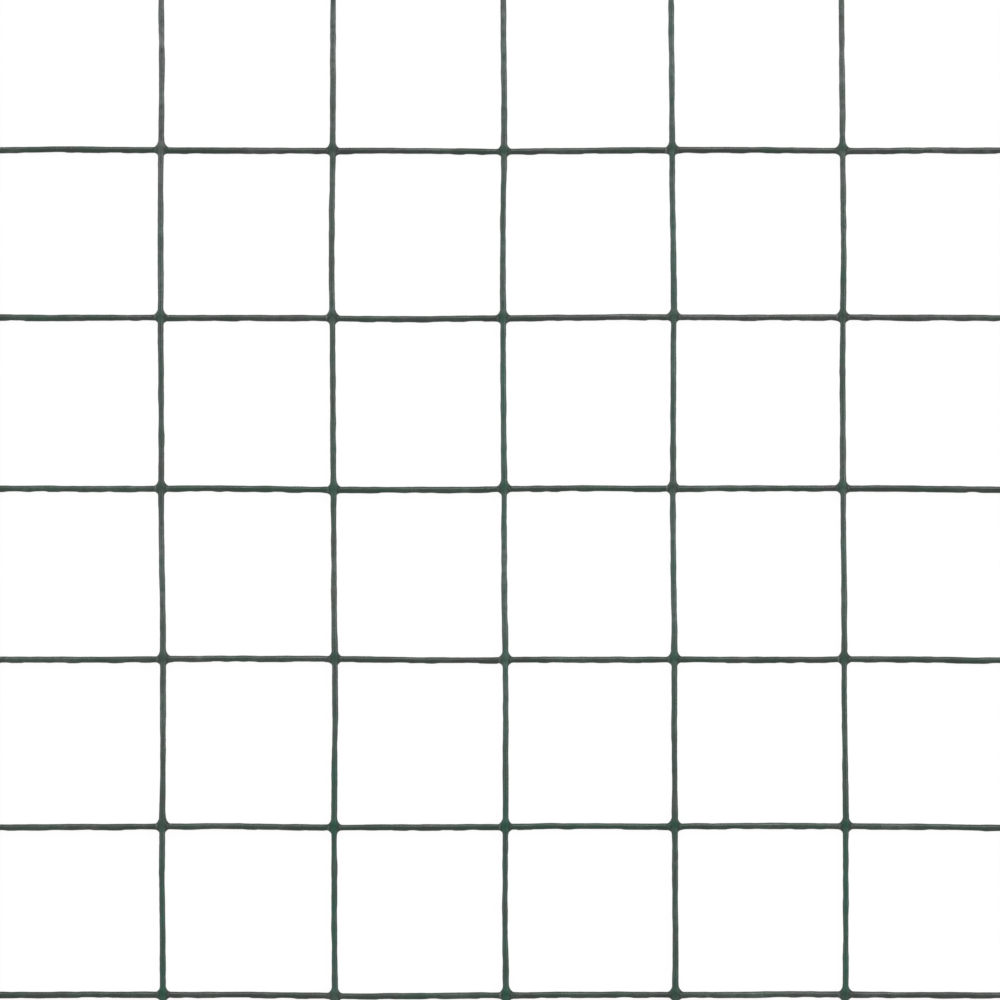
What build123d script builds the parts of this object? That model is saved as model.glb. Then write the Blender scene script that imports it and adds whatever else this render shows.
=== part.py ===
from build123d import *
import os

# A flat sheet of welded wire mesh, lying on its line wires. All sizes are in
# millimetres. Line wires run along X and lie underneath. Cross wires run along
# Y and are welded on top of them. The mesh was dipped in plastic after it was
# welded, so one coating runs over every wire and fills the corners at each
# weld, and the sheet is a single piece. Its origin is on the floor under the
# middle of the sheet.

# Mesh
CROSS_WIRE_PITCH = 50.0  # along X, from one cross wire's middle to the next
LINE_WIRE_PITCH = 49.5  # along Y, from one line wire's middle to the next
CELLS_ALONG_X = 20
CELLS_ALONG_Y = 10
END_OVERHANG = 3.0  # from the middle of the outermost weld to a wire's end

# Wire
STEEL_DIAMETER = 1.2
COATING = 0.2  # thickness of the plastic on the steel
WELD_SINK = 0.25  # how far two steel wires are pressed into each other
WIRE_SIDES = 8  # flats round a wire, with one underneath and one on top
END_ROUNDING = 0.25  # the plastic rounds off the end of each wire

# Web of coating round a weld
WEB_LEG = 0.8  # how far a filled corner runs out along each of its two wires

WIRE_DIAMETER = STEEL_DIAMETER + 2 * COATING
LINE_WIRE_LEVEL = WIRE_DIAMETER / 2
CROSS_WIRE_LEVEL = LINE_WIRE_LEVEL + STEEL_DIAMETER - WELD_SINK


def spaced(cells, pitch):
    """Middles of the wires on both sides of each cell, centred on zero."""
    first = -cells * pitch / 2
    return [first + number * pitch for number in range(cells + 1)]


def wire(span):
    """A coated wire along X whose outermost welds are span apart."""
    flat_underneath = 180 / WIRE_SIDES
    outline = RegularPolygon(
        WIRE_DIAMETER / 2, WIRE_SIDES, major_radius=False, rotation=flat_underneath
    )
    bar = extrude(Plane.YZ * outline, span / 2 + END_OVERHANG, both=True)
    ends = bar.faces().filter_by(Axis.X).edges()
    return chamfer(ends, END_ROUNDING)


def weld_web():
    """Coating in the four corners between two crossing wires, as one lozenge.

    It fills the height where both wires have coating, from the underside of
    the cross wire to the top of the line wire.
    """
    underside = CROSS_WIRE_LEVEL - WIRE_DIAMETER / 2
    top = LINE_WIRE_LEVEL + WIRE_DIAMETER / 2
    middle_to_tip = WIRE_DIAMETER + WEB_LEG
    side = middle_to_tip * 2**0.5
    lozenge = Plane.XY.offset(underside) * Rectangle(side, side, rotation=45)
    return extrude(lozenge, top - underside)


def cross_wire_with_webs(weld_places):
    """One cross wire at x = 0, with the web of each of its welds."""
    webs = [Pos(0, y, 0) * weld_web() for y in weld_places]
    bar = Pos(0, 0, CROSS_WIRE_LEVEL) * Rot(Z=90) * wire(CELLS_ALONG_Y * LINE_WIRE_PITCH)
    return bar + webs


def mesh_sheet():
    """Every line wire and cross wire, fused where they cross."""
    line_wire_places = spaced(CELLS_ALONG_Y, LINE_WIRE_PITCH)
    cross_wire_places = spaced(CELLS_ALONG_X, CROSS_WIRE_PITCH)
    line_wire = Pos(0, 0, LINE_WIRE_LEVEL) * wire(CELLS_ALONG_X * CROSS_WIRE_PITCH)
    cross_wire = cross_wire_with_webs(line_wire_places)
    line_wires = [Pos(0, y, 0) * line_wire for y in line_wire_places]
    cross_wires = [Pos(x, 0, 0) * cross_wire for x in cross_wire_places]
    return Part() + (line_wires + cross_wires)


os.makedirs("parts", exist_ok=True)
export_step(mesh_sheet(), "parts/welded_mesh_sheet.step")
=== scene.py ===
# %% [markdown]
# # A sheet of coated welded wire mesh
#
# The object is green garden mesh: steel wires crossed at right angles, welded,
# and then dipped in plastic. The measured model already gives the size of the
# sheet and where its wires run, with plain eight-sided bars. This script adds
# what the dipping does: round wires that wander a little, hollow webs of
# plastic in the corners of every weld, drips, lumps and a patchy green.

# %% Load the measured model
import math

import bmesh
import bpy
import numpy as np
from mathutils import Matrix, Vector, noise


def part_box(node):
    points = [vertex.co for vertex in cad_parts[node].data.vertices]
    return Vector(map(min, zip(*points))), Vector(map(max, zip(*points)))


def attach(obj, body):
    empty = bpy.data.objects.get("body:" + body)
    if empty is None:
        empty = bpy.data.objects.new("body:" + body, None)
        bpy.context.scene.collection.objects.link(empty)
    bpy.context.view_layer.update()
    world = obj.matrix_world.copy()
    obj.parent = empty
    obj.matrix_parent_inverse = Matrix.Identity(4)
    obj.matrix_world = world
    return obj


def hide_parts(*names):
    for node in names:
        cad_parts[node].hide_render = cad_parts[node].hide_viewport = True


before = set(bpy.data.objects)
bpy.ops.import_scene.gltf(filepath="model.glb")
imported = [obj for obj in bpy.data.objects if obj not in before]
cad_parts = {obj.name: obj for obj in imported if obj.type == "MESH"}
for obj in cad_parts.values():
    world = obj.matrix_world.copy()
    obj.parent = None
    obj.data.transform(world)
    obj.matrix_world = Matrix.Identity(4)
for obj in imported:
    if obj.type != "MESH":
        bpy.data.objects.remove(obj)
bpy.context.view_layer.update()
print("nodes in the measured model:", len(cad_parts))

# %% [markdown]
# ## What the measured model tells us
#
# The box of the one node is enough to find every wire. The sheet is twenty
# cells long and ten cells wide, and each wire runs 3 mm past its last weld. The
# line wires lie on the floor, and the cross wires reach the top of the box.

# %% Wire places and sizes
MM = 0.001
CELLS_ALONG_X = 20
CELLS_ALONG_Y = 10
END_OVERHANG = 3.0 * MM
WIRE_RADIUS = 0.8 * MM

lowest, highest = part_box("welded_mesh_sheet")
half_length = (highest.x - lowest.x) / 2
half_width = (highest.y - lowest.y) / 2
cross_pitch = 2 * (half_length - END_OVERHANG) / CELLS_ALONG_X
line_pitch = 2 * (half_width - END_OVERHANG) / CELLS_ALONG_Y
line_level = lowest.z + WIRE_RADIUS
cross_level = highest.z - WIRE_RADIUS
weld_level = (line_level + cross_level) / 2
print("pitch of cross wires and line wires in mm", cross_pitch / MM, line_pitch / MM)
print("levels of the two layers in mm", line_level / MM, cross_level / MM)

# %% [markdown]
# ## One weld as a coarse cage
#
# Two crossing wires that melt into each other are awkward to model as two
# tubes and a boolean, because the joint comes out with long thin faces. A
# subdivision cage is cleaner: a few large faces that the Subdivision modifier
# rounds off. The cage starts from a cube. A cut at the height of the weld
# splits it into a lower half, which belongs to the line wire, and an upper
# half, which belongs to the cross wire. Each half grows two square arms.

# %% Grow one arm of the cage
CAGE_HALF_SIDE = 1.076 * WIRE_RADIUS
RINGS_AT_WEB = (1.6 * MM, 2.7 * MM)
RINGS_ALONG_WIRE = 6
LEVEL_TOLERANCE = 0.01 * MM


def ring_places(half_cell):
    """Distances of an arm's rings from the weld's middle, closer by the weld."""
    even = np.linspace(RINGS_AT_WEB[-1], half_cell, RINGS_ALONG_WIRE + 1)
    return [CAGE_HALF_SIDE, *RINGS_AT_WEB, *even[1:]]


def grow_arm(bm, face, wire_level, half_cell):
    """Extrudes one face of the hub ring by ring to the middle of the cell."""
    outward = face.normal.copy()
    places = ring_places(half_cell)
    for near, far in zip(places, places[1:]):
        face = bmesh.ops.extrude_discrete_faces(bm, faces=[face])["faces"][0]
        bmesh.ops.translate(bm, verts=face.verts[:], vec=outward * (far - near))
        at_weld = [v for v in face.verts if abs(v.co.z - weld_level) < LEVEL_TOLERANCE]
        if at_weld:
            to_square = 2 * (wire_level - face.calc_center_median().z)
            bmesh.ops.translate(bm, verts=at_weld, vec=(0, 0, to_square))
    return face


# %% Build the hub and its four arms
WEB_PULL = 1.55
X_AXIS = 0
Y_AXIS = 1
FACING_LIMIT = 0.5


def everything(bm):
    """All the parts of a bmesh, in the form that its operators take."""
    return bm.verts[:] + bm.edges[:] + bm.faces[:]


def faces_along(bm, axis):
    """The faces of a bmesh that look along an axis, either way."""
    return [face for face in bm.faces if abs(face.normal[axis]) > FACING_LIMIT]


def weld_cage():
    """A cube cut at the weld's height, with an arm on four of its half faces."""
    bm = bmesh.new()
    bottom = line_level - CAGE_HALF_SIDE
    top = cross_level + CAGE_HALF_SIDE
    size = Vector((2 * CAGE_HALF_SIDE, 2 * CAGE_HALF_SIDE, top - bottom))
    middle = Vector((0, 0, (top + bottom) / 2))
    bmesh.ops.create_cube(bm, size=1, matrix=Matrix.LocRotScale(middle, None, size))
    bmesh.ops.bisect_plane(bm, geom=everything(bm), plane_co=(0, 0, weld_level), plane_no=(0, 0, 1))
    corners = [v for v in bm.verts if abs(v.co.z - weld_level) < LEVEL_TOLERANCE]
    bm.normal_update()
    lower = [face for face in faces_along(bm, X_AXIS) if face.calc_center_median().z < weld_level]
    upper = [face for face in faces_along(bm, Y_AXIS) if face.calc_center_median().z > weld_level]
    ends = [grow_arm(bm, face, line_level, cross_pitch / 2) for face in lower]
    ends += [grow_arm(bm, face, cross_level, line_pitch / 2) for face in upper]
    bmesh.ops.delete(bm, geom=ends, context="FACES")
    bmesh.ops.scale(bm, verts=corners, vec=(WEB_PULL, WEB_PULL, 1))
    return bm


trial = weld_cage()
print("one weld has", len(trial.faces), "cage faces")
trial.free()

# %% [markdown]
# ## Strips of welds
#
# The arms of neighbouring welds end in the middle of the cell between them,
# where they join. Copies of the cage, one cell apart, make a strip of mesh
# three cross wires wide, which keeps the strip from growing too heavy. The
# strip is as wide as one object may be without growing too heavy. Its ends are
# cut off where the wires end, and closed.

# %% Repeat the cage and trim the strip
WIRES_PER_STRIP = 3
MERGE = 0.001 * MM
ARM_SIDES = 4


def repeat(bm, count, step):
    """Adds copies of everything in bm, each one step further, and joins them."""
    first = everything(bm)
    for number in range(1, count):
        copy = bmesh.ops.duplicate(bm, geom=first)["geom"]
        verts = [part for part in copy if isinstance(part, bmesh.types.BMVert)]
        bmesh.ops.translate(bm, verts=verts, vec=Vector(step) * number)
    bmesh.ops.remove_doubles(bm, verts=bm.verts[:], dist=MERGE)


def trim(bm, edge_place):
    """Cuts the wires off at a plane through edge_place and closes their ends."""
    outward = edge_place.normalized()
    cut = bmesh.ops.bisect_plane(
        bm, geom=everything(bm), plane_co=edge_place, plane_no=outward, clear_outer=True
    )["geom_cut"]
    rims = [part for part in cut if isinstance(part, bmesh.types.BMEdge)]
    if rims:
        bmesh.ops.holes_fill(bm, edges=rims, sides=ARM_SIDES)


def strip_cage(first_wire):
    """The cage of three cross wires and the stretch of line wires they cross."""
    bm = weld_cage()
    repeat(bm, WIRES_PER_STRIP, (cross_pitch, 0, 0))
    repeat(bm, CELLS_ALONG_Y + 1, (0, line_pitch, 0))
    corner = Vector((-CELLS_ALONG_X / 2 * cross_pitch, -CELLS_ALONG_Y / 2 * line_pitch, 0))
    corner.x += first_wire * cross_pitch
    bmesh.ops.translate(bm, verts=bm.verts[:], vec=corner)
    for edge_place in (Vector((half_length, 0, 0)), Vector((0, half_width, 0))):
        trim(bm, edge_place)
        trim(bm, -edge_place)
    return bm


# %% [markdown]
# ## Rounding the cage
#
# Two levels of subdivision turn each square arm into a round wire of sixteen
# sides. The modifier's result becomes the piece's own mesh, because the next
# steps move its vertices.

# %% Subdivide
LEVELS = 2


def subdivided(bm, name):
    """A new object whose mesh is the cage after subdivision."""
    cage = bpy.data.meshes.new(name + "_cage")
    bm.to_mesh(cage)
    bm.free()
    piece = bpy.data.objects.new(name, cage)
    bpy.context.scene.collection.objects.link(piece)
    rounding = piece.modifiers.new("rounding", "SUBSURF")
    rounding.levels = LEVELS
    rounding.render_levels = LEVELS
    rounded = piece.evaluated_get(bpy.context.evaluated_depsgraph_get())
    piece.data = bpy.data.meshes.new_from_object(rounded)
    piece.modifiers.clear()
    bpy.data.meshes.remove(cage)
    return piece


# %% [markdown]
# ## Settling the skin on the plastic
#
# The rounded cage is close to the real surface but not on it. The plastic's
# surface is easy to say as a distance: how far a point is from a round line
# wire, how far from a round cross wire, and a hollow fillet where both are
# near. Each vertex then slides along the slope of that distance until it reads
# zero.
#
# The fillet isn't the same all round. Seen from above, the plastic spans the
# four corners of a weld in thin webs. It ran down the cross wires while it set,
# so the two webs above a line wire reach further than the two below, and no two
# are alike. On the crest of either wire the fillet rises less.

# %% Sizes of the webs
WEB_UP = 2.4 * MM
WEB_DOWN = 1.8 * MM
UPPER_WEB_OUT = 1.85 * MM
LOWER_WEB_OUT = 1.65 * MM
CREST_UP = 0.7 * MM
CREST_OUT = 1.4 * MM
WEB_THICKNESS = 0.8 * MM
WEB_UNEVENNESS = 0.07
WEB_LIMITS = (0.6, 1.5)
WEB_SEED = 131872

chance = np.random.default_rng(WEB_SEED)
web_sizes = chance.normal(1, WEB_UNEVENNESS, (CELLS_ALONG_X + 1, CELLS_ALONG_Y + 1, 2, 2))
web_sizes = web_sizes.clip(*WEB_LIMITS)
print("webs are", web_sizes.min().round(2), "to", web_sizes.max().round(2), "of their usual size")

# %% Distance to the plastic
END_EDGE = 0.5 * MM


def wire_distance(along, across, up, wire_half_length):
    """Distance to a round wire whose ends have softened edges."""
    side = np.hypot(across, up) - (WIRE_RADIUS - END_EDGE)
    end = np.abs(along) - (wire_half_length - END_EDGE)
    outside = np.hypot(np.maximum(side, 0), np.maximum(end, 0))
    inside = np.minimum(np.maximum(side, end), 0)
    return outside + inside - END_EDGE


def nearest_wire(place, pitch, cells):
    """The number of the nearest evenly spaced wire, and how far off it a place is."""
    number = np.clip(np.round(place / pitch + cells / 2), 0, cells).astype(int)
    return number, place - (number - cells / 2) * pitch


def eased(share):
    """Zero up to 0, one from 1 on, and a smooth rise between."""
    share = np.clip(share, 0, 1)
    return share * share * (3 - 2 * share)


def wire_distances(points):
    """Distance of each point to the nearest line wire and to the nearest cross wire."""
    x, y, z = points.T
    _, beside_cross = nearest_wire(x, cross_pitch, CELLS_ALONG_X)
    _, beside_line = nearest_wire(y, line_pitch, CELLS_ALONG_Y)
    to_line = wire_distance(x, beside_line, z - line_level, half_length)
    to_cross = wire_distance(y, beside_cross, z - cross_level, half_width)
    return to_line, to_cross


def coating_distance(points):
    """Distance to the plastic over both layers of wire, with webs in the corners."""
    x, y, z = points.T
    column, beside_cross = nearest_wire(x, cross_pitch, CELLS_ALONG_X)
    row, beside_line = nearest_wire(y, line_pitch, CELLS_ALONG_Y)
    on_right = (beside_cross > 0).astype(int)
    on_top = (beside_line > 0).astype(int)
    size = web_sizes[column, row, on_right, on_top]
    in_corner = eased(np.abs(beside_cross) / WIRE_RADIUS) * eased(np.abs(beside_line) / WIRE_RADIUS)
    in_web = in_corner * np.exp(-(((z - weld_level) / WEB_THICKNESS) ** 2))
    web_up = size * np.where(on_top, WEB_UP, WEB_DOWN)
    web_out = size * np.where(on_top, UPPER_WEB_OUT, LOWER_WEB_OUT)
    reach_up = CREST_UP + (web_up - CREST_UP) * in_web
    reach_out = CREST_OUT + (web_out - CREST_OUT) * in_web
    to_line, to_cross = wire_distances(points)
    line_share = to_line / reach_up
    cross_share = to_cross / reach_out
    into_corner = np.hypot(np.maximum(1 - line_share, 0), np.maximum(1 - cross_share, 0))
    return (np.maximum(1, np.minimum(line_share, cross_share)) - into_corner) * CREST_OUT


# %% [markdown]
# Sliding alone bunches the vertices up in the webs and leaves creases there. So
# it is done in rounds, and between them a smoothing evens out the spacing. Each
# smoothing shrinks the wires a little, and the next round puts that right.

# %% Slide points onto the surface
SETTLING_ROUNDS = 4
SETTLING_STEPS = 8
SLOPE_STEP = 0.001 * MM
LEAST_STEEPNESS = 0.1


def slope(points):
    """The direction and rate in which the distance grows, at each point."""
    columns = []
    for axis in np.eye(3):
        ahead = coating_distance(points + axis * SLOPE_STEP)
        behind = coating_distance(points - axis * SLOPE_STEP)
        columns.append((ahead - behind) / (2 * SLOPE_STEP))
    return np.stack(columns, axis=1)


def slid(points):
    """The points moved down the slope until they lie on the plastic."""
    for _ in range(SETTLING_STEPS):
        gradient = slope(points)
        steepness = np.maximum((gradient**2).sum(axis=1, keepdims=True), LEAST_STEEPNESS)
        points = points - coating_distance(points)[:, None] * gradient / steepness
    return points


def facing_at(points):
    """The way the plastic faces at each point."""
    gradient = slope(points)
    return gradient / np.linalg.norm(gradient, axis=1, keepdims=True)


# %% Settle a mesh
EVENING = 0.5


def places_of(mesh):
    """Where the vertices of a mesh are, one row for each."""
    places = np.zeros(len(mesh.vertices) * 3)
    mesh.vertices.foreach_get("co", places)
    return places.reshape(-1, 3)


def even_out(mesh):
    """Evens out the spacing of a mesh's vertices, and leaves its open rims alone."""
    bm = bmesh.new()
    bm.from_mesh(mesh)
    inner = [vertex for vertex in bm.verts if not vertex.is_boundary]
    bmesh.ops.smooth_vert(
        bm, verts=inner, factor=EVENING, use_axis_x=True, use_axis_y=True, use_axis_z=True
    )
    bm.to_mesh(mesh)
    bm.free()


def settle(mesh):
    """Lays the vertices of a mesh on the plastic, and returns how far off the worst one is."""
    for number in range(SETTLING_ROUNDS):
        if number:
            even_out(mesh)
        mesh.vertices.foreach_set("co", slid(places_of(mesh)).ravel())
    return np.abs(coating_distance(places_of(mesh))).max()


# %% [markdown]
# ## No two wires alike
#
# Where a wire runs, how green its plastic is and how much painted sheen lies on
# it all change slowly along it, and differently on each wire. Noise read from the
# place in space would change two crossing wires alike, so each wire gets sine
# waves of its own, from long ones to short ones, whose starts are drawn by chance.
#
# Everything drawn by chance in this script has a seed, so that each run draws
# the same. Of many seeds tried for the waves, the webs, the welds and the places
# of the wires, these are the ones whose draws look most like the photograph.

# %% Waves of each wire
def waves_of_wires(seed, cells, lengths, heights, average):
    """Draws waves for each wire, and returns the function that reads them."""
    starts = np.random.default_rng(seed).uniform(0, 2 * math.pi, (cells + 1, len(lengths)))
    averages = np.zeros(cells + 1) + average

    def read(number, along):
        """The waves of wires with these numbers, at these places along them."""
        waves = np.sin(2 * math.pi * along[:, None] / np.array(lengths) + starts[number])
        return averages[number] + waves @ np.array(heights)

    return read


# %% Tell the two layers apart
WEB_BLEND = 1.5 * MM
HALFWAY = 0.5


def share_of_cross(points):
    """One on a cross wire, zero on a line wire, and in between in a web."""
    to_line, to_cross = wire_distances(points)
    return eased(HALFWAY + (to_line - to_cross) / WEB_BLEND)


# %% [markdown]
# ## Lumps and drips
#
# Dipped plastic is never even. It is thicker in some places than in others. It
# ran down each cross wire, so the wire grows thicker towards the next weld and
# ends in a collar just above it. On the line wires, which were level, it gathered
# along the lower edge, in flat drips that stop short. These are small moves along
# the way each vertex faces.

# %% Thickness of the plastic
LUMP_LENGTHS = (14 * MM, 4.5 * MM, 1.8 * MM)
LUMP_HEIGHTS = (0.03 * MM, 0.09 * MM, 0.05 * MM)
CROSS_LUMPINESS = 1.35
MORE_ON_CROSS = 0.045 * MM
MORE_ON_LINE = 0.085 * MM
RUN_HEIGHT = 0.04 * MM
RUN_LENGTH = 14 * MM
COLLAR_HEIGHT = 0.12 * MM
COLLAR_LENGTH = 3.5 * MM
RUN_FOOT = 1.5 * MM
DRIP_LENGTH = 4.5 * MM
DRIP_HEIGHT = 0.17 * MM
DRIP_SHARE = 0.6
DRIP_STEEPNESS = 4
DRIP_SLICE = 0.5


def lump(point):
    """How much thicker than average the plastic is at a point."""
    vector = Vector(point)
    return sum(h * noise.noise(vector / length) for length, h in zip(LUMP_LENGTHS, LUMP_HEIGHTS))


def drip(point):
    """How far the plastic hangs down from a level wire at a point."""
    place = Vector((point[0] / DRIP_LENGTH, point[1] / line_pitch, DRIP_SLICE))
    return DRIP_HEIGHT * min(max(DRIP_SHARE + DRIP_STEEPNESS * noise.noise(place), 0), 1)


def thickened(points, facing):
    """The points moved out by what is on each wire, by lumps, runs and drips."""
    on_cross = share_of_cross(points)
    lumps = np.array([lump(point) for point in points]) * (1 + (CROSS_LUMPINESS - 1) * on_cross)
    above_weld = np.mod(points[:, 1] + CELLS_ALONG_Y / 2 * line_pitch, line_pitch)
    run = RUN_HEIGHT * np.exp(-above_weld / RUN_LENGTH)
    collar = COLLAR_HEIGHT * np.exp(-above_weld / COLLAR_LENGTH)
    runs = (run + collar) * eased(above_weld / RUN_FOOT)
    drips = np.array([drip(point) for point in points]) * np.maximum(-facing[:, 1], 0) ** 2
    cross_extra = MORE_ON_CROSS + runs
    line_extra = MORE_ON_LINE + drips
    extra = lumps + line_extra + (cross_extra - line_extra) * on_cross
    return points + facing * extra[:, None]


# %% [markdown]
# ## How green, with painted shade and painted sheen
#
# Thick plastic is a full green, and thin plastic looks grey. On top of that comes
# a painted sheen, which adds the same light to red, green and blue where the shine
# of the lamps would lie. The cross wires, which lie on top, get more of it, and
# all of them get more of it at the same places along their length, as a painted
# highlight from the light beyond the top edge. The line wires get painted shade.
# How green, how light and how much painted sheen the plastic has gets worked out
# at each vertex, which keeps the three numbers for the material.

# %% Colour along the wires
HUE_LENGTHS = (1000 * MM, 420 * MM, 200 * MM, 100 * MM, 45 * MM, 20 * MM, 8 * MM)
HUE_HEIGHTS = (0.15, 0.14, 0.12, 0.11, 0.1, 0.1, 0.09)
CROSS_GREENNESS = 0.46
LINE_GREENNESS = 0.43
LINE_HUE_SWING = 1.4
CROSS_HUE_SEED = 144654
LINE_HUE_SEED = 494

line_hue_heights = np.array(HUE_HEIGHTS) * LINE_HUE_SWING
cross_hue = waves_of_wires(CROSS_HUE_SEED, CELLS_ALONG_X, HUE_LENGTHS, HUE_HEIGHTS, CROSS_GREENNESS)
line_hue = waves_of_wires(LINE_HUE_SEED, CELLS_ALONG_Y, HUE_LENGTHS, line_hue_heights, LINE_GREENNESS)

# %% Painted sheen along the wires
# Painted sheen: a neutral lightness in the colour that stands in for the shine of the lamps.
SHEEN_LENGTHS = (420 * MM, 200 * MM, 90 * MM, 40 * MM, 18 * MM, 8 * MM)
SHEEN_HEIGHTS = (0.0072, 0.0072, 0.0063, 0.0063, 0.0062, 0.0052)
CROSS_PAINTED_SHEEN = 0.032
LINE_PAINTED_SHEEN = 0.011
LINE_SHEEN_SWING = 1.15
CROSS_SHEEN_SEED = 86358
LINE_SHEEN_SEED = 10127
# Painted highlight from the light beyond the top edge, the same on all cross wires.
SHARED_SHEEN_LENGTHS = (720 * MM, 170 * MM)
SHARED_SHEEN_HEIGHTS = (0.026, 0.013)
SHARED_SHEEN_STARTS = (-0.46, 3.04)

line_sheen_heights = np.array(SHEEN_HEIGHTS) * LINE_SHEEN_SWING
cross_painted_sheen = waves_of_wires(CROSS_SHEEN_SEED, CELLS_ALONG_X, SHEEN_LENGTHS, SHEEN_HEIGHTS, CROSS_PAINTED_SHEEN)
line_painted_sheen = waves_of_wires(LINE_SHEEN_SEED, CELLS_ALONG_Y, SHEEN_LENGTHS, line_sheen_heights, LINE_PAINTED_SHEEN)


def shared_painted_sheen(along):
    """The part of the painted sheen that is the same on all cross wires: the lamp's shine along them."""
    waves = np.sin(2 * math.pi * along[:, None] / np.array(SHARED_SHEEN_LENGTHS) + SHARED_SHEEN_STARTS)
    return waves @ np.array(SHARED_SHEEN_HEIGHTS)


# %% [markdown]
# The plastic at a weld is thick, dull and mostly greener than the wires, some
# more than others. The hollows beside it get painted shade, the darkest of all,
# above all on the right. A short way along each wire the plastic is a little
# darker and has less painted sheen, and where a fillet runs out on a line wire, a
# painted highlight makes a light rim, which shows most on the left of a weld.

# %% What each weld has of its own
WELD_GREENER = 0.27
WELD_GREEN_SWING = 0.3
# Painted highlight on the rim where a fillet runs out on a line wire, stronger on the left.
LEFT_RIM_HIGHLIGHT = 0.13
RIGHT_RIM_HIGHLIGHT = 0.025
WELD_GREEN_SEED = 92530
RIM_SEED = 146555

welds = (CELLS_ALONG_X + 1, CELLS_ALONG_Y + 1)
weld_greens = np.random.default_rng(WELD_GREEN_SEED).normal(WELD_GREENER, WELD_GREEN_SWING, welds)
rim_highlights = np.random.default_rng(RIM_SEED).uniform(0, 1, (*welds, 2)) * (LEFT_RIM_HIGHLIGHT, RIGHT_RIM_HIGHLIGHT)
print("welds differ from their wires in greenness by", weld_greens.min(), "to", weld_greens.max())

# %% Nearness to a weld and to its hollows
WELD_REACH_OUT = 1.6 * MM
WELD_REACH_UP = 2.2 * MM
WELD_RISE = 0.4 * MM
HOLLOW_SPREAD = 0.7 * MM


def weldness(points):
    """One in the middle of a weld, falling off sooner along line wires than along cross wires."""
    x, y, _ = points.T
    _, beside_cross = nearest_wire(x, cross_pitch, CELLS_ALONG_X)
    _, beside_line = nearest_wire(y, line_pitch, CELLS_ALONG_Y)
    along_line = beside_cross / WELD_REACH_OUT
    along_cross = (beside_line - WELD_RISE) / WELD_REACH_UP
    return np.exp(-(along_line**2) - along_cross**2)


def hollowness(points):
    """One where a point touches both wires, and falling off away from that."""
    return np.exp(-((np.maximum(*wire_distances(points)) / HOLLOW_SPREAD) ** 2))


# %% Work out the colour of each point
# Painted shade: the line wires, the lower layer, are darker than the cross wires.
LINE_PAINTED_SHADE = 0.6
AROUND_WELD = 6 * MM
# How much less painted sheen lies a short way along each wire from a weld.
AROUND_LESS_SHEEN = 0.4
AROUND_DARKER = 0.17
# Painted shade in the hollows beside a weld, deeper on the right.
LEFT_HOLLOW_PAINTED_SHADE = 0.3
RIGHT_HOLLOW_PAINTED_SHADE = 0.8
RIM_PLACE = 0.9 * MM
RIM_WIDTH = 0.25 * MM


def colour_of(points):
    """How green each point is, from zero to one, how light its plastic is with painted shade, and its
    painted sheen.
    """
    x, y, _ = points.T
    column, beside_cross = nearest_wire(x, cross_pitch, CELLS_ALONG_X)
    row, beside_line = nearest_wire(y, line_pitch, CELLS_ALONG_Y)
    on_right = (beside_cross > 0).astype(int)
    on_cross = share_of_cross(points)
    _, to_cross = wire_distances(points)

    near_weld = weldness(points)
    around_weld = np.exp(-((np.hypot(beside_cross, beside_line) / AROUND_WELD) ** 2)) * (1 - near_weld)
    on_highlight_rim = np.exp(-(((to_cross - RIM_PLACE) / RIM_WIDTH) ** 2)) * (1 - on_cross)

    green = line_hue(row, x) + (cross_hue(column, y) - line_hue(row, x)) * on_cross
    green = green + weld_greens[column, row] * near_weld
    # Painted shade in the hollows, which takes painted sheen away there too.
    kept_by_painted_shade = 1 - np.where(on_right, RIGHT_HOLLOW_PAINTED_SHADE, LEFT_HOLLOW_PAINTED_SHADE) * hollowness(points)
    shade = (LINE_PAINTED_SHADE + (1 - LINE_PAINTED_SHADE) * on_cross) * kept_by_painted_shade
    shade = shade * (1 - AROUND_DARKER * around_weld)

    # Painted sheen, less of it a short way along each wire from a weld, plus the painted highlight of the
    # rims.
    of_line = line_painted_sheen(row, x)
    of_cross = cross_painted_sheen(column, y) + shared_painted_sheen(y)
    painted_sheen = np.maximum(of_line + (of_cross - of_line) * on_cross, 0)
    painted_sheen = painted_sheen * (1 - AROUND_LESS_SHEEN * around_weld) * kept_by_painted_shade
    # Painted highlight on the rims.
    painted_sheen = painted_sheen + rim_highlights[column, row, on_right] * on_highlight_rim
    return np.clip(green, 0, 1), shade, painted_sheen


# %% [markdown]
# ## Wires that wander
#
# Wire comes off a coil, so it is never quite straight, and the welding machine
# doesn't space it perfectly. Each wire as a whole is a little off its place, and
# waves of its own, as above, move it aside. The moves of two neighbouring wires
# are blended across the cell between them, so that what crosses them bends
# along. The sheet as a whole bows a little sideways too, and doesn't lie quite
# flat.

# %% Waves that move the wires
WAVE_LENGTHS = (340 * MM, 170 * MM, 92 * MM, 51 * MM, 23 * MM, 11 * MM)
WAVE_HEIGHTS = (0.1 * MM, 0.15 * MM, 0.1 * MM, 0.05 * MM, 0.025 * MM, 0.015 * MM)
DRIFT = 0.3 * MM
CROSS_DRIFT_SEED = 194083
LINE_DRIFT_SEED = 337136
CROSS_WANDER_SEED = 40251
LINE_WANDER_SEED = 64782

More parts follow.
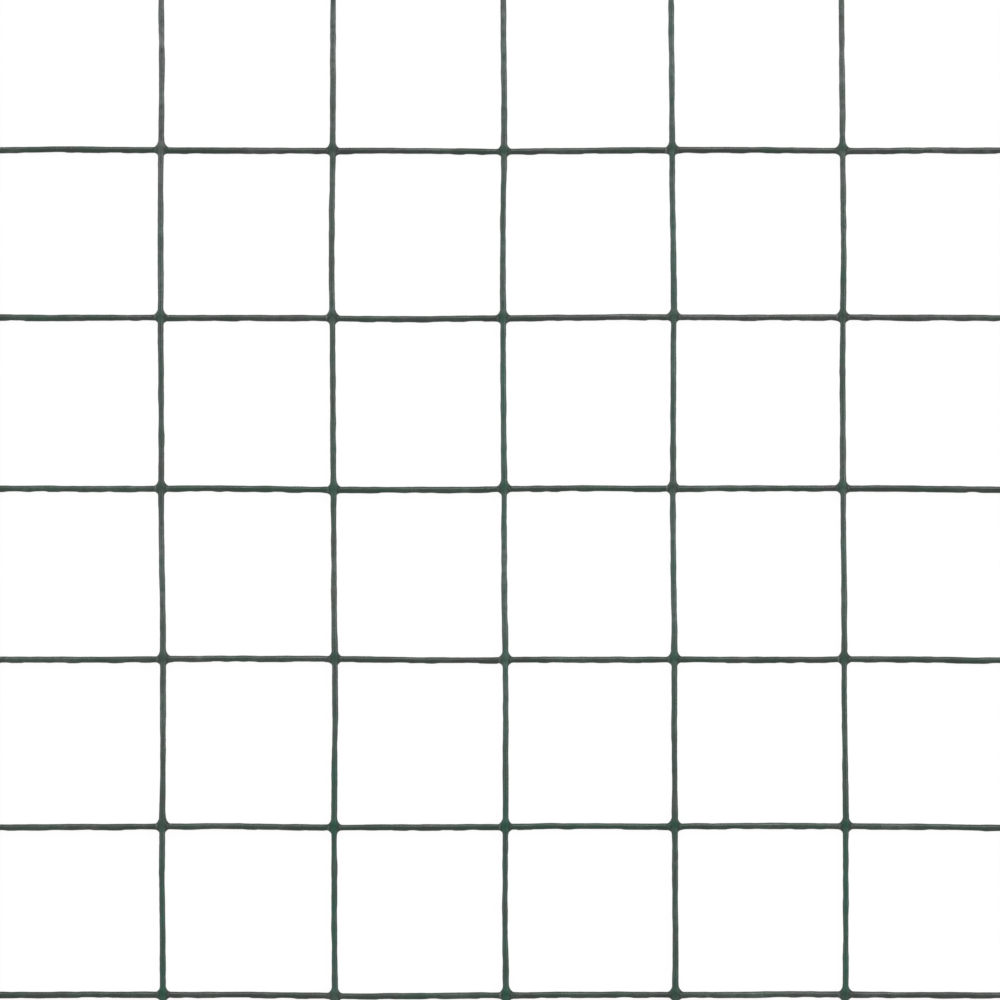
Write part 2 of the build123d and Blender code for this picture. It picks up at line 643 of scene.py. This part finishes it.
cross_drifts = np.random.default_rng(CROSS_DRIFT_SEED).normal(0, DRIFT, CELLS_ALONG_X + 1)
line_drifts = np.random.default_rng(LINE_DRIFT_SEED).normal(0, DRIFT, CELLS_ALONG_Y + 1)
cross_wander = waves_of_wires(CROSS_WANDER_SEED, CELLS_ALONG_X, WAVE_LENGTHS, WAVE_HEIGHTS, cross_drifts)
line_wander = waves_of_wires(LINE_WANDER_SEED, CELLS_ALONG_Y, WAVE_LENGTHS, WAVE_HEIGHTS, line_drifts)
print("furthest that a cross wire as a whole is off, in mm", np.abs(cross_drifts).max() / MM)
print("furthest that a line wire as a whole is off, in mm", np.abs(line_drifts).max() / MM)

# %% Blend the moves of two neighbouring wires
BLEND_FROM = 0.25
BLEND_OVER = 0.5


def between_wires(wander, across, along, pitch, cells):
    """The wander of the two nearest wires, blended over the middle half of their cell."""
    place = np.clip(across / pitch + cells / 2, 0, cells)
    before = np.minimum(place.astype(int), cells - 1)
    share = eased((place - before - BLEND_FROM) / BLEND_OVER)
    one = wander(before, along)
    other = wander(before + 1, along)
    return one + (other - one) * share


# %% Bend the sheet
SKEW_LENGTH = 800 * MM
SKEW_HEIGHT = 0.5 * MM
RIPPLE_LENGTHS = (430 * MM, 310 * MM)
RIPPLE_HEIGHT = 0.2 * MM


def bent(points):
    """The points moved along with the wires that they belong to."""
    x, y, z = points.T
    aside = between_wires(cross_wander, x, y, cross_pitch, CELLS_ALONG_X)
    skew = -SKEW_HEIGHT * np.sin(2 * math.pi * y / SKEW_LENGTH)
    along = between_wires(line_wander, y, x, line_pitch, CELLS_ALONG_Y)
    ripple = np.sin(2 * math.pi * x / RIPPLE_LENGTHS[0]) * np.sin(2 * math.pi * y / RIPPLE_LENGTHS[1])
    raised = np.maximum(z + RIPPLE_HEIGHT * (1 + ripple), lowest.z)
    return np.stack([x + aside + skew, y + along, raised], axis=1)


# %% [markdown]
# ## Finishing a strip
#
# A strip ends in open wires where the next strip goes on. They are closed with
# flat caps, and the caps' rims are marked sharp, so that the round side of the
# wire shades on as if there were no cut.

# %% Close the open ends
def close_ends(mesh):
    """Caps the open rims, shades everything else smoothly, and returns the number of caps."""
    bm = bmesh.new()
    bm.from_mesh(mesh)
    for face in bm.faces:
        face.smooth = True
    open_edges = [edge for edge in bm.edges if edge.is_boundary]
    caps = bmesh.ops.holes_fill(bm, edges=open_edges, sides=0)["faces"]
    for cap in caps:
        cap.smooth = False
        for edge in cap.edges:
            edge.smooth = False
    bmesh.ops.recalc_face_normals(bm, faces=bm.faces[:])
    bm.to_mesh(mesh)
    bm.free()
    return len(caps)


# %% Make all the strips
WELD_ROUGHNESS = 0.74


def store(mesh, name, values):
    """Keeps one number for each vertex under a name that a material can read."""
    mesh.attributes.new(name, "FLOAT", "POINT").data.foreach_set("value", values)


def mesh_strip(number):
    """One strip of the sheet, from cage to finished skin."""
    piece = subdivided(strip_cage(number * WIRES_PER_STRIP), f"mesh_strip_{number + 1}")
    furthest = settle(piece.data)
    points = places_of(piece.data)
    # The shade carries the painted shade, and painted_sheen the painted sheen.
    for name, values in zip(("greenness", "shade", "painted_sheen"), colour_of(points)):
        store(piece.data, name, values)
    store(piece.data, "on_cross", share_of_cross(points))
    store(piece.data, "dullness", np.maximum(hollowness(points), WELD_ROUGHNESS * weldness(points)))
    points = bent(thickened(points, facing_at(points)))
    piece.data.vertices.foreach_set("co", points.ravel())
    caps = close_ends(piece.data)
    piece.data.update()
    triangles = sum(len(face.vertices) - 2 for face in piece.data.polygons)
    print(piece.name, "has", triangles, "triangles and", caps, "caps, and settled to", furthest / MM, "mm")
    return piece


strips = [mesh_strip(number) for number in range((CELLS_ALONG_X + 1) // WIRES_PER_STRIP)]

# %% [markdown]
# ## Green plastic
#
# The plastic is a dark green, greyer where it is thin, and satin. It pulled
# streaks along the wires as it ran, which break up the shine. The streaks are one
# noise stretched along the line wires and another along the cross wires, and each
# vertex says which of them it is on. The stored painted shade darkens the colour,
# the stored painted sheen is added to it, and a fine mottling breaks that up. In
# the hollows and at the welds the shine is dull.

# %% Nodes that say what is where
NOISE_RANGE = (0.3, 0.7)


def stored(tree, name):
    """A number that each vertex keeps."""
    node = tree.nodes.new("ShaderNodeAttribute")
    node.attribute_name = name
    return node.outputs["Fac"]


def noise_texture(tree, feature_size, detail, stretch=(1, 1, 1)):
    """Noise with features of a given size, drawn out along an axis by stretch."""
    place = tree.nodes.new("ShaderNodeTexCoord").outputs["Object"]
    mapping = tree.nodes.new("ShaderNodeMapping")
    mapping.inputs["Scale"].default_value = [1 / (feature_size * share) for share in stretch]
    texture = tree.nodes.new("ShaderNodeTexNoise")
    texture.inputs["Scale"].default_value = 1
    texture.inputs["Detail"].default_value = detail
    tree.links.new(place, mapping.inputs["Vector"])
    tree.links.new(mapping.outputs["Vector"], texture.inputs["Vector"])
    return texture.outputs["Fac"]


def spread(tree, value, new_range):
    """The range that noise usually covers, spread over another one."""
    node = tree.nodes.new("ShaderNodeMapRange")
    sockets = ("From Min", "From Max", "To Min", "To Max")
    for name, number in zip(sockets, (*NOISE_RANGE, *new_range)):
        node.inputs[name].default_value = number
    tree.links.new(value, node.inputs["Value"])
    return node.outputs["Result"]


# %% Nodes that combine numbers and colours
def feed(tree, value, socket):
    """Links a node's output to a socket, or sets a plain number or colour on it."""
    if isinstance(value, bpy.types.NodeSocket):
        tree.links.new(value, socket)
    else:
        socket.default_value = value


def calculated(tree, operation, one, other):
    """Two numbers added, multiplied or the like."""
    node = tree.nodes.new("ShaderNodeMath")
    node.operation = operation
    feed(tree, one, node.inputs[0])
    feed(tree, other, node.inputs[1])
    return node.outputs["Value"]


def mixed(tree, share, one, other):
    """One number or colour where the share is zero, and the other where it is one."""
    node = tree.nodes.new("ShaderNodeMix")
    node.data_type = "RGBA" if isinstance(one, tuple) else "FLOAT"
    for name, value in (("Factor", share), ("A", one), ("B", other)):
        feed(tree, value, next(s for s in node.inputs if s.enabled and s.name == name))
    return next(s for s in node.outputs if s.enabled)


def scaled(tree, colour, factor):
    """A colour made darker or lighter by a factor."""
    node = tree.nodes.new("ShaderNodeVectorMath")
    node.operation = "SCALE"
    tree.links.new(colour, node.inputs["Vector"])
    tree.links.new(factor, node.inputs["Scale"])
    return node.outputs["Vector"]


def lightened(tree, colour, extra):
    """A colour with the same amount added to its red, green and blue."""
    node = tree.nodes.new("ShaderNodeVectorMath")
    node.operation = "ADD"
    tree.links.new(colour, node.inputs[0])
    tree.links.new(extra, node.inputs[1])
    return node.outputs["Vector"]


# %% Colour of the coating
CROSS_GREEN = (0.003, 0.065, 0.039, 1)
LINE_GREEN = (0.003, 0.065, 0.031, 1)
THIN_GREY = (0.033, 0.043, 0.036, 1)
BLOTCH_SIZE = 2.5 * MM
BLOTCH_DETAIL = 3
BLOTCH_GREENNESS = (-0.15, 0.15)
STREAK_SHADES = (0.8, 1.2)
MOTTLED_SHEEN = (0.1, 1.9)


def coating_colour(tree, on_cross, streaks, mottling):
    """Green to grey plastic with darker streaks, painted shade and a mottled painted sheen."""
    blotches = spread(tree, noise_texture(tree, BLOTCH_SIZE, BLOTCH_DETAIL), BLOTCH_GREENNESS)
    green = calculated(tree, "ADD", stored(tree, "greenness"), blotches)
    full_green = mixed(tree, on_cross, LINE_GREEN, CROSS_GREEN)
    plastic = mixed(tree, green, THIN_GREY, full_green)
    # Painted shade, streaked, and painted sheen, mottled.
    shade = calculated(tree, "MULTIPLY", stored(tree, "shade"), spread(tree, streaks, STREAK_SHADES))
    painted_sheen = calculated(tree, "MULTIPLY", stored(tree, "painted_sheen"), spread(tree, mottling, MOTTLED_SHEEN))
    return lightened(tree, scaled(tree, plastic, shade), painted_sheen)


# %% Shine of the coating
SHINE_SIZE = 14 * MM
SHINE_DETAIL = 2
ROUGHNESS = (0.22, 0.52)
MOTTLED_ROUGHNESS = (-0.05, 0.05)


def coating_roughness(tree, mottling):
    """Satin with duller stretches, and dull in the hollows and at the welds."""
    stretches = spread(tree, noise_texture(tree, SHINE_SIZE, SHINE_DETAIL), ROUGHNESS)
    roughness = calculated(tree, "ADD", stretches, spread(tree, mottling, MOTTLED_ROUGHNESS))
    return calculated(tree, "MAXIMUM", roughness, stored(tree, "dullness"))


# %% Relief of the coating
PIT_SIZE = 0.6 * MM
PIT_DETAIL = 2
BUMP_STRENGTH = 0.6
BUMP_HEIGHT = 0.06 * MM


def coating_bump(tree, streaks):
    """The streaks and fine pits as a slight relief."""
    pits = noise_texture(tree, PIT_SIZE, PIT_DETAIL)
    bump = tree.nodes.new("ShaderNodeBump")
    bump.inputs["Strength"].default_value = BUMP_STRENGTH
    bump.inputs["Distance"].default_value = BUMP_HEIGHT
    tree.links.new(calculated(tree, "ADD", streaks, pits), bump.inputs["Height"])
    return bump.outputs["Normal"]


# %% Green coating
STREAK_WIDTH = 0.9 * MM
STREAK_DETAIL = 2
STREAK_STRETCH = 8
MOTTLE_SIZE = 2.0 * MM
MOTTLE_DETAIL = 3
SPECULAR = 0.5


def green_coating():
    """Satin green plastic with greyer stretches, streaks, mottling and bumps."""
    material = bpy.data.materials.new("green_coating")
    material.use_nodes = True
    tree = material.node_tree
    on_cross = stored(tree, "on_cross")
    along_line = noise_texture(tree, STREAK_WIDTH, STREAK_DETAIL, (STREAK_STRETCH, 1, 1))
    along_cross = noise_texture(tree, STREAK_WIDTH, STREAK_DETAIL, (1, STREAK_STRETCH, 1))
    streaks = mixed(tree, on_cross, along_line, along_cross)
    mottling = noise_texture(tree, MOTTLE_SIZE, MOTTLE_DETAIL)

    sockets = tree.nodes["Principled BSDF"].inputs
    sockets["Specular IOR Level"].default_value = SPECULAR
    tree.links.new(coating_colour(tree, on_cross, streaks, mottling), sockets["Base Color"])
    tree.links.new(coating_roughness(tree, mottling), sockets["Roughness"])
    tree.links.new(coating_bump(tree, streaks), sockets["Normal"])
    return material


coating = green_coating()
print("the coating has", len(coating.node_tree.nodes), "nodes")

# %% Put the coating on the strips
for strip in strips:
    strip.data.materials.clear()
    strip.data.materials.append(coating)
    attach(strip, "root")
    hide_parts("welded_mesh_sheet")

# %% [markdown]
# ## Floor
#
# The mesh lies on plain white. The camera sees the floor as white whatever the
# lamps do, apart from the share that the lamps light, which keeps the shadow.

# %% White that is looked at
def seen_directly(tree):
    """One for camera, glossy and transmission rays, and zero for the others."""
    path = tree.nodes.new("ShaderNodeLightPath")
    seen = path.outputs["Is Camera Ray"]
    for name in ("Is Glossy Ray", "Is Transmission Ray"):
        seen = calculated(tree, "MAXIMUM", seen, path.outputs[name])
    return seen


# %% White floor
FLOOR_HALF_SIDE = 6.0
SHADOW_SHARE = 0.2
FLOOR_SHADE = 0.45
FLOOR_GLOW = 1.18


def floor_white():
    """White that holds a faint shadow when looked at, and reflects light."""
    material = bpy.data.materials.new("floor_white")
    material.use_nodes = True
    tree = material.node_tree
    tree.nodes.remove(tree.nodes["Principled BSDF"])
    lit = tree.nodes.new("ShaderNodeBsdfDiffuse")
    lit.inputs["Color"].default_value = (FLOOR_SHADE, FLOOR_SHADE, FLOOR_SHADE, 1)
    glow = tree.nodes.new("ShaderNodeEmission")
    glow.inputs["Strength"].default_value = FLOOR_GLOW
    mix = tree.nodes.new("ShaderNodeMixShader")
    glow_share = calculated(tree, "MULTIPLY", seen_directly(tree), 1 - SHADOW_SHARE)
    tree.links.new(glow_share, mix.inputs["Fac"])
    tree.links.new(lit.outputs["BSDF"], mix.inputs[1])
    tree.links.new(glow.outputs["Emission"], mix.inputs[2])
    tree.links.new(mix.outputs["Shader"], tree.nodes["Material Output"].inputs["Surface"])
    return material


bm = bmesh.new()
bmesh.ops.create_grid(bm, x_segments=1, y_segments=1, size=FLOOR_HALF_SIDE)
floor_mesh = bpy.data.meshes.new("floor")
bm.to_mesh(floor_mesh)
bm.free()
floor = bpy.data.objects.new("floor", floor_mesh)
floor_mesh.materials.append(floor_white())
bpy.context.scene.collection.objects.link(floor)
print("the floor is", 2 * FLOOR_HALF_SIDE, "m wide")

# %% [markdown]
# ## Light
#
# The light in the photograph is soft. Here it comes from the world, evenly from
# all round, and from three large soft lamps. The one beyond the top edge makes
# the upper side of each line wire lighter than its lower side. The two beyond
# the side edges draw thin streaks of shine along the cross wires.

# %% Light from all round
WORLD_STRENGTH = 0.31
WHITE_STRENGTH = 1.0
WHITE = (1, 1, 1, 1)


def even_world():
    """Soft light from all round, and white where it is looked at."""
    world = bpy.data.worlds.new("even_world")
    world.use_nodes = True
    tree = world.node_tree
    strength = tree.nodes.new("ShaderNodeMapRange")
    strength.inputs["To Min"].default_value = WORLD_STRENGTH
    strength.inputs["To Max"].default_value = WHITE_STRENGTH
    tree.links.new(seen_directly(tree), strength.inputs["Value"])
    background = tree.nodes["Background"]
    background.inputs["Color"].default_value = WHITE
    tree.links.new(strength.outputs["Result"], background.inputs["Strength"])
    return world


bpy.context.scene.world = even_world()
print("the world lights the sheet with a strength of", WORLD_STRENGTH)

# %% [markdown]
# Each lamp below has a place, the length of its side, both in metres, and a
# power in watts.

# %% Lamps
LAMPS = {
    "top_softbox": (Vector((0.2, 1.9, 1.5)), 1.2, 23),
    "left_softbox": (Vector((-1.8, 0.2, 1.3)), 1.2, 8),
    "right_softbox": (Vector((1.8, 0.2, 1.3)), 0.8, 11),
}


def softbox(name, place, side, power):
    """A square area lamp that faces the middle of the sheet."""
    data = bpy.data.lights.new(name, "AREA")
    data.shape = "SQUARE"
    data.size = side
    data.energy = power
    lamp = bpy.data.objects.new(name, data)
    lamp.location = place
    lamp.rotation_euler = (-place).to_track_quat("-Z", "Y").to_euler()
    bpy.context.scene.collection.objects.link(lamp)


for name, (place, side, power) in LAMPS.items():
    softbox(name, place, side, power)
    print(name, "is", side, "m wide,", round(place.length, 2), "m from the sheet and gives", power, "W")

# %% [markdown]
# ## Camera
#
# The photograph looks straight down on the mesh from about 1.2 m, almost square
# on, and its frame holds 293 mm of the sheet.

# %% Camera over the sheet
CAMERA_DISTANCE = 1200 * MM
CAMERA_TILT = math.radians(1.0)
FRAME_WIDTH = 293.1 * MM
AIM = Vector((-1.0 * MM, -3.4 * MM, weld_level))
SENSOR_WIDTH = 36
NEAREST_SEEN = 10 * MM

camera_data = bpy.data.cameras.new("camera")
camera_data.sensor_width = SENSOR_WIDTH
camera_data.lens = SENSOR_WIDTH * CAMERA_DISTANCE / FRAME_WIDTH
camera_data.clip_start = NEAREST_SEEN
camera = bpy.data.objects.new("camera", camera_data)
backward = Vector((0, -math.sin(CAMERA_TILT), math.cos(CAMERA_TILT)))
camera.location = AIM + backward * CAMERA_DISTANCE
camera.rotation_euler = (CAMERA_TILT, 0, 0)
bpy.context.scene.collection.objects.link(camera)
bpy.context.scene.camera = camera
bpy.context.scene.view_settings.view_transform = "Standard"
print("the camera's focal length is", round(camera_data.lens, 1), "mm")
